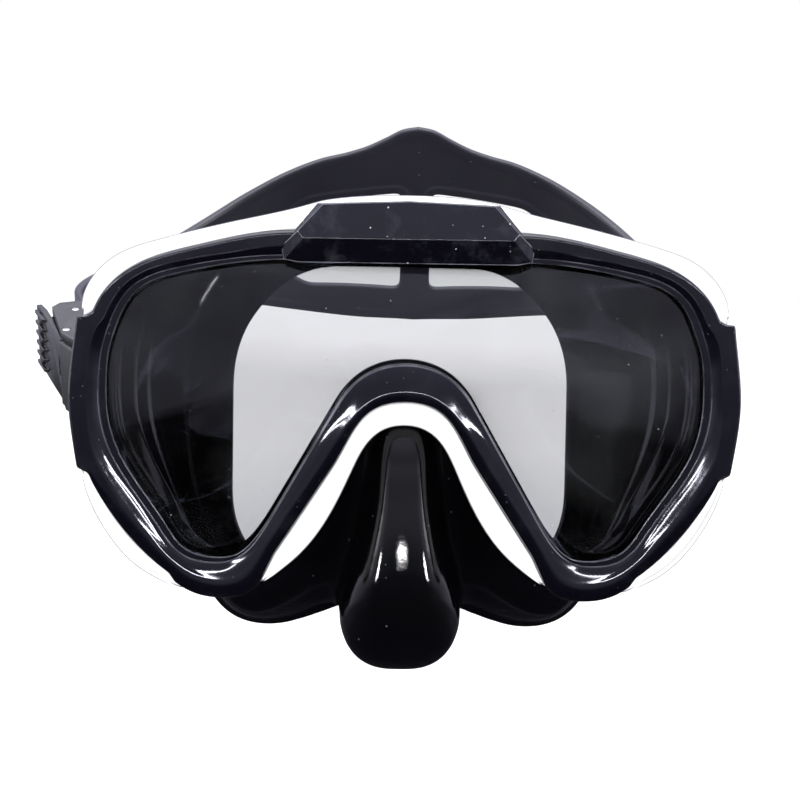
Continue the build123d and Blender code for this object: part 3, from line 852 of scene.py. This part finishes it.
def frame_lug(side):
    """Ear on the rear frame that carries the strap's axle, with a round eye and softened edges."""
    pivot = joint_place("strap_swing")
    inside, outside, eye, bore = 77.6, 80.6, 7.0, 3.05
    edge, rim = 0.35, 0.3
    root = frame_back_depth - 0.6 + front_plane - pivot[1]
    outline = [(eye * cos(turn), eye * sin(turn)) for turn in np.linspace(pi / 2, -pi / 2, 25)]
    outline += [(root, -eye - 1.5), (root, eye + 1.5)]
    steps = 48
    turns = [2 * pi * step / steps for step in range(steps)]
    mesh = bmesh.new()
    rows = []

    def add_row(x, spots):
        row = [(side * x * MM, (pivot[1] + y) * MM, (pivot[2] + z) * MM) for y, z in spots]
        rows.append([mesh.verts.new(place) for place in row])

    for x, grow in ((inside, -edge), (inside + edge, 0), (outside - edge, 0), (outside, -edge)):
        add_row(x, [lug_point(outline, turn, grow) for turn in turns])
    for x, grow in ((outside, rim), (outside - rim, 0), (inside + rim, 0), (inside, rim)):
        add_row(x, [((bore + grow) * cos(turn), (bore + grow) * sin(turn)) for turn in turns])
    for row, next_row in zip(rows, rows[1:] + rows[:1]):
        for step in range(steps):
            after = (step + 1) % steps
            mesh.faces.new((row[step], row[after], next_row[after], next_row[step]))
    piece = object_of(mesh, f"{WORDS[side]}_frame_lug")
    face_outwards(piece)
    flat_normals(piece)
    dress(piece, "white_shell")
    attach(piece, "mask")


def lug_point(outline, angle, grow):
    """Where a ray from the eye's middle meets the lug's outline, moved out by grow."""
    way = np.array([cos(angle), sin(angle)])
    best = None
    for start, end in zip(outline, outline[1:] + outline[:1]):
        edge = np.subtract(end, start)
        cross = way[0] * edge[1] - way[1] * edge[0]
        if abs(cross) < 1e-9:
            continue
        distance = (start[0] * edge[1] - start[1] * edge[0]) / cross
        share = (start[0] * way[1] - start[1] * way[0]) / cross
        if distance > 0 and -1e-6 <= share <= 1 + 1e-6 and (best is None or distance > best):
            best = distance
    return way * (best + grow)


# ---- skirt --------------------------------------------------------------------------------
def profile(levels, value):
    """Smooth curve through the levels (place, number), read at value."""
    places = np.array([level[0] for level in levels], float)
    numbers = np.array([level[1] for level in levels], float)
    order = np.argsort(places)
    places, numbers = places[order], numbers[order]
    slopes = np.gradient(numbers, places)
    value = np.clip(value, places[0], places[-1])
    below = np.clip(np.searchsorted(places, value) - 1, 0, len(places) - 2)
    above = below + 1
    span = places[above] - places[below]
    share = (value - places[below]) / span
    return hermite(share, numbers[below], numbers[above], span * slopes[below], span * slopes[above])


neck_grown = 1.4
neck_back = 12.6
skirt_front_depth = 7.1
flange_back = 9.1
nose_bottom = -75.0
face_opening_front = 44.0
# depth, reach and height of each fold round the skirt's wall
skirt_folds = ((19, 2.6, 1.5), (25.5, 2.2, -0.9), (37, 3.0, 1.1))
# height, half width, half depth and middle depth of the nose pocket
nose_levels = ((6, 5.4, 9.0, 31.0), (-4, 7.6, 13.5, 29.0), (-14, 8.6, 17.5, 28.6), (-28, 9.6, 19.6, 29.0),
               (-42, 12.6, 21.2, 30.0), (-50, 14.8, 21.8, 31.0), (-56, 16.0, 21.8, 32.0),
               (-62, 16.0, 21.2, 33.4), (-70, 13.4, 17.6, 35.4), (-78, 9.4, 12.0, 37.0))


def nose_field(x, depth, height):
    """Rough distance outside the nose pocket, whose level cuts are blunt ovals."""
    half_width, half_depth, middle = [
        profile([(level[0], level[i]) for level in nose_levels], height) for i in (1, 2, 3)]
    power = 3.0
    across = np.abs(x / half_width) ** power + np.abs((depth - middle) / half_depth) ** power
    side = ((across + 1e-9) ** (1 / power) - 1) * half_width
    closed = joined_max(side, nose_bottom - height, 9.0)
    return joined_max(closed, height - 2.0, 6.0)


def skirt_field():
    """The whole silicone body as one field: wall, folds, nose pocket, inner seal and face opening."""
    near_glass = Distance(glass_outline)
    near_back = Distance(skirt_outline)
    near_face = Distance(face_outline)

    def field(x, depth, height):
        glass = near_glass(x, height)
        back = near_back(x, height)
        face = near_face(x, height)
        share = np.clip((depth - neck_back) / (skirt_depth - neck_back), 0, 1.1)
        share = share + 0.10 * np.sin(pi * np.clip(share, 0, 1))
        fold = sum(rise * swell(depth, middle, reach) for middle, reach, rise in skirt_folds)
        side = (1 - share) * (glass - neck_grown) + share * back - fold * smooth_step(depth, 13, 17)
        brow = 6.0 * swell(x, 0, 34) * smooth_step(height, -5, 30)
        lip = 7.0 * swell(x, 0, 20) * smooth_step(-height, 40, 58)
        rear = skirt_depth - brow - lip
        curl = 6.0 * (1 - smooth_step(face, -1, 15))
        rim = rear - curl
        body = joined_max(side, depth - rim, 5.0)
        room = joined_max(side + skirt_wall, depth - rim + skirt_wall, 6.0)
        nose = nose_field(x, depth, height)
        body = joined_min(body, nose, 10.0)
        room = joined_min(room, nose + skirt_wall, 8.0)
        bead = np.sqrt(np.maximum(side + 1.0, -1.5) ** 2 + (depth - rear + 2.2) ** 2) - 2.1
        body = joined_min(body, bead, 1.5)
        flange = np.maximum(glass - 3.0, depth - flange_back)
        body = np.minimum(body, flange)
        shell = joined_max(body, -room, 0.9)
        hole = np.maximum(face, face_opening_front - depth)
        shell = joined_max(shell, -hole, 1.6)
        return joined_max(shell, skirt_front_depth - depth, 0.5)

    return field


def skirt():
    """Silicone body: the field's surface, drawn from a grid that is a little larger than the skirt."""
    low, high = (-81, 6.2, -78), (81, 64, 51)
    grain = 0.85
    points, faces = surface_of(skirt_field(), low, high, (grain, grain, grain))
    piece = new_object("skirt_silicone_body", world(points), faces)
    face_outwards(piece)
    smooth = piece.modifiers.new("settle", "LAPLACIANSMOOTH")
    smooth.iterations = 2
    smooth.lambda_factor = 0.15
    stand_in(piece, "skirt", "black_silicone")


# ---- strap --------------------------------------------------------------------------------
strap_up = np.array(joints["right_buckle_fold"]["axis"], float)
strap_up = strap_up / np.linalg.norm(strap_up) * (1 if strap_up[2] > 0 else -1)
strap_back = np.cross(strap_up, [1.0, 0, 0])
strap_middle = 6.0
roller_radius, tongue_gap, tongue_thickness, strap_thickness = 2.5, 0.25, 2.0, 3.0
wrap_radius = roller_radius + tongue_gap + tongue_thickness / 2
tail_length, tongue_length = 13.0, 15.8


def plan(place):
    """A place in the strap's tilted plane: x, and how far back along it."""
    return np.array([place[0], place @ strap_back])


def in_space(spots):
    """The places of points that are given in the strap's plane."""
    return np.outer(spots[:, 0], [1, 0, 0]) + np.outer(spots[:, 1], strap_back)


def clamped_spline(points, start_way, end_way, count):
    """Smooth curve through the points, with its end directions given, as evenly spaced points."""
    points = np.array(points, float)
    chord = np.linalg.norm(np.diff(points, axis=0), axis=1)
    size = len(points)
    matrix, right = np.zeros((size, size)), np.zeros((size, 2))
    matrix[0, 0] = matrix[-1, -1] = 1
    right[0], right[-1] = start_way, end_way
    for i in range(1, size - 1):
        before, after = chord[i - 1], chord[i]
        matrix[i, i - 1], matrix[i, i], matrix[i, i + 1] = after, 2 * (before + after), before
        onward, inward = points[i + 1] - points[i], points[i] - points[i - 1]
        right[i] = 3 * (before * onward / after + after * inward / before)
    slopes = np.linalg.solve(matrix, right)
    fine = []
    share = np.linspace(0, 1, 200, endpoint=False)[:, None]
    for i in range(size - 1):
        fine.append(hermite(share, points[i], points[i + 1], chord[i] * slopes[i], chord[i] * slopes[i + 1]))
    fine = np.concatenate(fine + [points[-1:]])
    return evenly(fine, count)


def evenly(points, count):
    """Points evenly spaced along an open path."""
    along = np.concatenate([[0], np.cumsum(np.linalg.norm(np.diff(points, axis=0), axis=1))])
    stops = np.linspace(0, along[-1], count)
    return np.stack([np.interp(stops, along, points[:, i]) for i in range(points.shape[1])], 1)


def side_path(side):
    """Tail, turn round the roller and inner run of one end of the strap, from the tail's tip."""
    hinge = plan(joint_place(f"{WORDS[side]}_buckle_fold"))
    roller = plan(joint_place(f"{WORDS[side]}_roller_turn"))
    back = (roller - hinge) / np.linalg.norm(roller - hinge)
    away = np.array([back[1], -back[0]])
    away = away if away[0] * side > 0 else -away
    path = [roller + back * tail_length + away * wrap_radius]
    for turn in np.linspace(0, pi, 25):
        path.append(roller - back * wrap_radius * sin(turn) + away * wrap_radius * cos(turn))
    path.append(roller + back * tongue_length - away * wrap_radius)
    return np.array(path), back


left_path, left_back = side_path(LEFT)
right_path, right_back = side_path(RIGHT)
loop_points = [left_path[-1], (-77, 82), (-50, 112), (strap_middle, 126.5), (58, 109), (72, 82),
               right_path[-1]]
loop_path = clamped_spline(loop_points, left_back, -right_back, 700)
strap_path = np.vstack([left_path[:-1], loop_path, right_path[::-1][1:]])
strap_length = np.linalg.norm(np.diff(strap_path, axis=0), axis=1).sum()
strap_path = evenly(strap_path, 2400)
tail_end_at = np.linalg.norm(np.diff(left_path, axis=0), axis=1).sum()
seam_at = strap_length * 0.27
slots_from = strap_length * 0.26


def path_frames(along):
    """Places on the strap's middle line and the way square to it, on the side away from the rollers."""
    step = strap_length / (len(strap_path) - 1)
    place = np.clip(along / step, 0, len(strap_path) - 1)
    index = np.arange(len(strap_path))
    spot = np.stack([np.interp(place, index, strap_path[:, i]) for i in (0, 1)], 1)
    way = np.gradient(strap_path, axis=0)
    way = np.stack([np.interp(place, index, way[:, i]) for i in (0, 1)], 1)
    way /= np.linalg.norm(way, axis=1, keepdims=True)
    return spot, np.stack([way[:, 1], -way[:, 0]], 1)


tongue_half = 9.0
# half outline of the unrolled strap: distance from its middle, and height of its upper and lower edge
peak_levels = [(0, 36.6), (5, 35.6), (10, 33.0), (16, 30.2), (22, 28.4), (30, 26.8), (40, 23.6), (52, 18.6),
               (64, 13.6), (76, 10.3), (88, tongue_half)]
low_levels = [(0, -28.0), (20, -26.6), (40, -22.4), (58, -16.6), (72, -12.0), (88, -tongue_half)]
slot_corners = [(4.7, 15.2), (34, 12.6), (53, 1), (53, -1), (34, -14.5), (4.7, -17.0)]


def strap_field():
    """The unrolled strap: along it, up, and through it. Slots, ribs and a raised border are in it."""
    step = strap_length / (len(strap_path) - 1)
    corners = np.array(slot_corners)
    slot_outline = softened(resample(corners, 400), 1.6)
    near_slot = Distance(slot_outline, 0.5, 16.0)
    x_line = strap_path[:, 0]
    index = np.arange(len(strap_path))

    def field(along, up, through):
        place = np.clip(along / step, 0, len(strap_path) - 1)
        x = np.interp(place, index, x_line) - strap_middle
        from_tip = np.minimum(along, strap_length - along)
        loose = smooth_step(from_tip, tail_end_at + 10, tail_end_at + 40)
        top = tongue_half + (profile(peak_levels, np.abs(x)) - tongue_half) * loose
        low = -tongue_half + (profile(low_levels, np.abs(x)) + tongue_half) * loose
        edge = np.maximum(up - top, low - up) * 0.93
        tip = joined_max(edge, 1.2 - from_tip, 7.0)
        slot = np.where(from_tip > slots_from, near_slot(np.abs(x), up), 20.0)
        outline = joined_max(tip, -slot, 1.0)
        thickening = smooth_step(from_tip, tail_end_at - 2, tail_end_at + 8)
        thick = (tongue_thickness + (strap_thickness - tongue_thickness) * thickening) / 2
        panel = smooth_step(-outline, 2.2, 3.2)
        thick = thick - 0.4 * panel * loose
        ribbed = smooth_step(from_tip, 1.5, 2.5) * (1 - smooth_step(from_tip, 12.5, 13.2))
        ribbed = ribbed * smooth_step(-edge, 1.0, 1.6)
        rib = 0.45 * np.maximum(np.cos(2 * pi * from_tip / 1.5), 0) ** 1.5 * ribbed
        surface = np.maximum(through - thick - rib, -through - thick)
        return joined_max(surface, outline, 1.1)

    return field


# the cuts that make each piece: at which side's seam, and whether the far (1) or near (-1) part stays,
# counted along the strap from its left end
strap_cuts = {
    "left_strap_arm": ((LEFT, -1),),
    "head_strap_pad": ((LEFT, 1), (RIGHT, -1)),
    "right_strap_arm": ((RIGHT, 1),),
}


def strap():
    """The unrolled strap is bent round its path, then cut into the head pad and two arms."""
    grain = ((0.8, 0.8, 0.34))
    low = (-0.6, -30, -2.6)
    high = (strap_length + 0.6, 40, 2.6)
    points, faces = surface_of(strap_field(), low, high, grain)
    spots, away = path_frames(points[:, 0])
    places = in_space(spots + away * points[:, 2:3]) + np.outer(points[:, 1], strap_up)
    whole = new_object("whole_strap", places * MM, faces)
    face_outwards(whole)
    pieces = {}
    for name, cuts in strap_cuts.items():
        mesh = bmesh.new()
        mesh.from_mesh(whole.data)
        for side, keep in cuts:
            cut(mesh, side, keep)
        pieces[name] = object_of(mesh, name)
        dress(pieces[name], "strap_silicone")
    bpy.data.objects.remove(whole)
    for side in (LEFT, RIGHT):
        arm = pieces[f"{WORDS[side]}_strap_arm"]
        stops = np.array([tail_end_at + 2, seam_at - 14])
        spots, _ = path_frames(stops if side == LEFT else strap_length - stops)
        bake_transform(arm)
        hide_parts(f"{WORDS[side]}_strap_tongue")
    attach(pieces["head_strap_pad"], "strap")
    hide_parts("head_strap")


def cut(mesh, side, keep):
    """Cuts the strap across at one side's seam, drops the part that isn't kept and closes the cut."""
    spot, away = path_frames(np.array([seam_at if side == LEFT else strap_length - seam_at]))
    place = Vector(in_space(spot)[0] * MM)
    normal = Vector(in_space(np.stack([-away[:, 1], away[:, 0]], 1))[0] * keep)

    def on_side(verts):
        return all((v.co.x < 0) == (side == LEFT) for v in verts)

    geometry = [v for v in mesh.verts if on_side([v])]
    geometry += [e for e in mesh.edges if on_side(e.verts)]
    geometry += [f for f in mesh.faces if on_side(f.verts)]
    made = bmesh.ops.bisect_plane(mesh, geom=geometry, plane_co=place, plane_no=normal, dist=1e-6)
    edges = [e for e in made["geom_cut"] if isinstance(e, bmesh.types.BMEdge)]
    bmesh.ops.split_edges(mesh, edges=edges)
    drop = []
    for part in loose_parts(mesh):
        reach = max(((v.co - place).dot(normal) for v in part), key=abs)
        if reach < 0:
            drop += part
    bmesh.ops.delete(mesh, geom=drop, context="VERTS")
    rim = [e for e in mesh.edges if e.is_boundary]
    filled = bmesh.ops.edgeloop_fill(mesh, edges=rim)
    for face in filled["faces"]:
        for edge in face.edges:
            edge.smooth = False


def loose_parts(mesh):
    """Lists of vertices, one for each connected part of the mesh."""
    left = set(mesh.verts)
    parts = []
    while left:
        start = left.pop()
        part, front = [start], [start]
        while front:
            vert = front.pop()
            for edge in vert.link_edges:
                other = edge.other_vert(vert)
                if other in left:
                    left.discard(other)
                    part.append(other)
                    front.append(other)
        parts.append(part)
    return parts


# ---- small hard pieces kept from the CAD --------------------------------------------------
# slot and width of the broken edges of each small piece, by its name after the side
hardware = {
    "swivel_axle": ("steel", 0.2),
    "swivel_bracket": ("buckle_gloss", 0.3),
    "hinge_pin": ("steel", 0),
    "buckle_frame": ("buckle_plastic", 0.35),
    "buckle_cover": ("buckle_plastic", 0.5),
    "roller": ("buckle_gloss", 0.2),
    "roller_pin": ("steel", 0),
    "release_lever": ("buckle_gloss", 0.18),
    "lever_pin": ("steel", 0),
    "lever_spring": ("steel", 0),
}


def finish_node(node, slot, bevel):
    """A CAD node with its edges broken and its own material."""
    piece = frame["nodes"][node]
    weld = piece.modifiers.new("weld", "WELD")
    weld.merge_threshold = 0.00001
    flatten = piece.modifiers.new("flatten", "DECIMATE")
    flatten.decimate_type = "DISSOLVE"
    flatten.angle_limit = radians(1.0)
    if bevel:
        break_edges(piece, bevel, 3, 28)
    piece.data.polygons.foreach_set("use_smooth", [True] * len(piece.data.polygons))
    dress(piece, slot)


# ---- studio -------------------------------------------------------------------------------
# brightness that mirrors see at each height of view, from straight down (-1) to straight up (1)
mirror_tones = ((-0.5, 0.02), (-0.25, 0.06), (-0.1, 0.3), (0.0, 0.55), (0.15, 0.7), (0.32, 0.55),
                (0.6, 0.9), (0.8, 1.8))


def lamp(name, place, target, power, width, height):
    """Soft rectangular lamp at a place, turned to a target."""
    light = bpy.data.lights.new(name, "AREA")
    light.shape = "RECTANGLE"
    light.size, light.size_y = width, height
    light.energy = power
    holder = bpy.data.objects.new(name, light)
    holder.location = place
    holder.rotation_euler = (Vector(target) - Vector(place)).to_track_quat("-Z", "Y").to_euler()
    bpy.context.scene.collection.objects.link(holder)
    return holder


def light_only(lamps, name, pieces):
    """Keeps the lamps' light to the named pieces."""
    group = bpy.data.collections.new(name)
    for piece in pieces:
        group.objects.link(bpy.data.objects[piece])
    for holder in lamps:
        holder.light_linking.receiver_collection = group


def soft_lamps():
    """Large lamps above and at both sides, for the whole mask."""
    middle = (0, 0.02, 0)
    lamp("top_soft", (0, -0.1, 1.1), middle, 9.0, 1.2, 0.9)
    lamp("left_soft", (-1.0, -0.35, 0.35), middle, 5.0, 0.5, 0.9)
    lamp("right_soft", (1.0, -0.35, 0.35), middle, 5.0, 0.5, 0.9)


def nose_lamps():
    """Three upright strips that only the skirt sees: the bright lines down the nose pocket."""
    reach, power_per_width = 1.2, 60.0
    lamps = []
    for turn, width in ((-40, 0.11), (1, 0.045), (42, 0.11)):
        place = Vector((reach * sin(radians(turn)), -reach * cos(radians(turn)), -0.2))
        lamps.append(lamp(f"strip_{turn}", place, (0, 0, -0.04), power_per_width * width, width, 0.07))
    light_only(lamps, "skirt_only", ["skirt_silicone_body"])


def shell_lamps():
    """A level strip and two small lamps that only the black shells see: the bright lines on the bezel."""
    middle = (0, 0, 0)
    lamps = [lamp("level_strip", (0, -1.17, 0.25), middle, 6.0, 0.9, 0.03)]
    for side in (LEFT, RIGHT):
        lamps.append(lamp(f"{WORDS[side]}_high", (side * 0.47, -1.07, 0.27), middle, 1.9, 0.05, 0.13))
    light_only(lamps, "black_shells_only", ["bezel_shell", "bridge_clip_cap"])


def glossy_switch(tree, usual, mirrored, output):
    """Mirrors see one shader, and everything else sees the usual one."""
    path = tree.nodes.new("ShaderNodeLightPath")
    mix = tree.nodes.new("ShaderNodeMixShader")
    tree.links.new(path.outputs["Is Glossy Ray"], mix.inputs["Fac"])
    tree.links.new(usual, mix.inputs[1])
    tree.links.new(mirrored, mix.inputs[2])
    tree.links.new(mix.outputs["Shader"], tree.nodes[output].inputs["Surface"])


def pale_floor():
    """Round pale floor below the mask, which mirrors don't see."""
    floor_height, radius, sides = -0.14, 9.0, 64
    around = [2 * pi * step / sides for step in range(sides)]
    points = [(radius * cos(turn), radius * sin(turn), floor_height) for turn in around]
    floor = new_object("studio_floor", points, [range(sides)])
    look = Look("pale_floor")
    grain = look.mixed(look.noise(12, 4), (0.9, 0.9, 0.9), (0.93, 0.93, 0.93))
    look.set(Base_Color=grain, Roughness=0.9, Emission_Color=(1.0, 1.0, 1.0), Emission_Strength=0.3)
    unseen = look.nodes.new("ShaderNodeBsdfTransparent")
    tree = look.material.node_tree
    glossy_switch(tree, look.shader.outputs["BSDF"], unseen.outputs["BSDF"], "Material Output")
    floor.data.materials.append(look.material)


def surroundings():
    """White to the eye; mirrors see a dark studio that is brighter high up and at the sides."""
    studio = bpy.data.worlds.new("studio")
    bpy.context.scene.world = studio
    studio.use_nodes = True
    nodes, links = studio.node_tree.nodes, studio.node_tree.links
    background = nodes["Background"]
    background.inputs["Color"].default_value = (1, 1, 1, 1)
    background.inputs["Strength"].default_value = 1.0
    mirrored = nodes.new("ShaderNodeBackground")
    direction = nodes.new("ShaderNodeTexCoord").outputs["Generated"]
    split = nodes.new("ShaderNodeSeparateXYZ")
    links.new(direction, split.inputs["Vector"])
    lift = nodes.new("ShaderNodeMapRange")
    lift.inputs["From Min"].default_value = -1
    links.new(split.outputs["Z"], lift.inputs["Value"])
    shade = nodes.new("ShaderNodeValToRGB")
    ramp = shade.color_ramp
    ramp.interpolation = "EASE"
    ramp.elements[0].color = (0.01, 0.01, 0.016, 1)
    ramp.elements[1].color = (3.5, 3.5, 3.7, 1)
    for height, tone in mirror_tones:
        ramp.elements.new((height + 1) / 2).color = (0.92 * tone, 0.93 * tone, 1.12 * tone, 1)
    links.new(lift.outputs["Result"], shade.inputs["Fac"])
    links.new(shade.outputs["Color"], mirrored.inputs["Color"])
    aside = nodes.new("ShaderNodeMath")
    aside.operation = "ABSOLUTE"
    links.new(split.outputs["X"], aside.inputs[0])
    boost = nodes.new("ShaderNodeMapRange")
    boost.interpolation_type = "SMOOTHSTEP"
    for name, value in (("From Min", 0.55), ("From Max", 0.9), ("To Min", 1.0), ("To Max", 2.2)):
        boost.inputs[name].default_value = value
    links.new(aside.outputs["Value"], boost.inputs["Value"])
    links.new(boost.outputs["Result"], mirrored.inputs["Strength"])
    tree = studio.node_tree
    glossy_switch(tree, background.outputs["Background"], mirrored.outputs["Background"], "World Output")


def camera():
    """Camera half a metre in front, a little above and to the left, with a long lens."""
    distance, rise, aside, roll = 500.0, radians(4.0), radians(-1.4), radians(-0.9)
    target = Vector(world([(-1.5, 0, 0)])[0])
    way = Vector((sin(aside) * cos(rise), -cos(aside) * cos(rise), sin(rise)))
    seen = bpy.data.cameras.new("camera")
    seen.lens = 89.46
    seen.sensor_width = 36
    seen.clip_start = 0.01
    holder = bpy.data.objects.new("camera", seen)
    holder.location = target + way * distance * MM
    turn = (-way).to_track_quat("-Z", "Y").to_matrix() @ Matrix.Rotation(-roll, 3, "Z")
    holder.rotation_euler = turn.to_euler()
    bpy.context.scene.collection.objects.link(holder)
    bpy.context.scene.camera = holder
    view = bpy.context.scene.view_settings
    view.view_transform = "Standard"
    view.look = "None"
    view.exposure = 0.0


bezel()
rear_frame()
bridge_clip()
finish_node("lens", "tempered_glass", 0)
for name in frame["nodes"]:
    side_word, _, kind = name.partition("_")
    if side_word in WORDS.values() and kind in hardware:
        finish_node(name, *hardware[kind])
skirt()
strap()
pale_floor()
surroundings()
soft_lamps()
nose_lamps()
shell_lamps()
camera()
